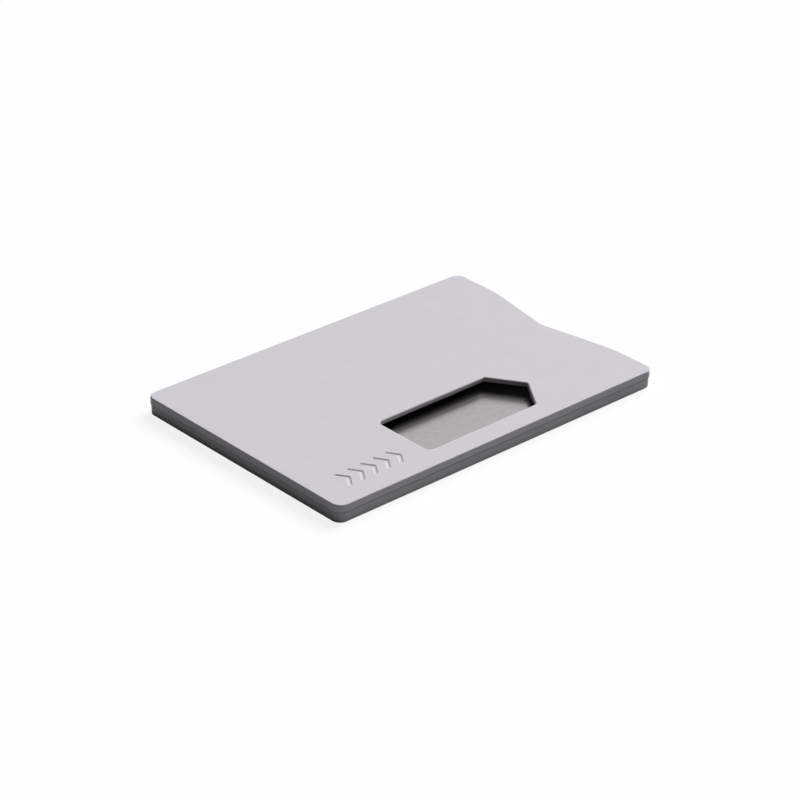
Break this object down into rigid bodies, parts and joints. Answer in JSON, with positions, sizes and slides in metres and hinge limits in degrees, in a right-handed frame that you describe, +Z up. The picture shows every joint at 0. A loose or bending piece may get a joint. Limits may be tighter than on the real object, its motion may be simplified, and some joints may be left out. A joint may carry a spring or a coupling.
{
  "type": "rfid card sleeve",
  "caption": "Slim hard sleeve for a bank card, with a shielded pocket, a thumb notch in the open short end and an arrow-shaped push-out window.",
  "frame": {"origin": "centre of the underside, under the middle of the body's bounding box", "axes": "+X along the length, out of the open end with the thumb notch; +Y across, away from the long side that the window is near; +Z up, out of the face with the window"},
  "size_m": [0.0914, 0.0622, 0.0042],
  "materials": {
    "shell_abs": "fine spark-eroded satin",
    "shield_foil": "matt rolled foil",
    "adhesive_film": "clear-drying adhesive film"
  },
  "bodies": {
    "root": {"upper_shell": "shell_abs", "lower_shell": "shell_abs", "upper_shield": "shield_foil", "lower_shield": "shield_foil", "upper_adhesive": "adhesive_film", "lower_adhesive": "adhesive_film"}
  },
  "joints": []
}
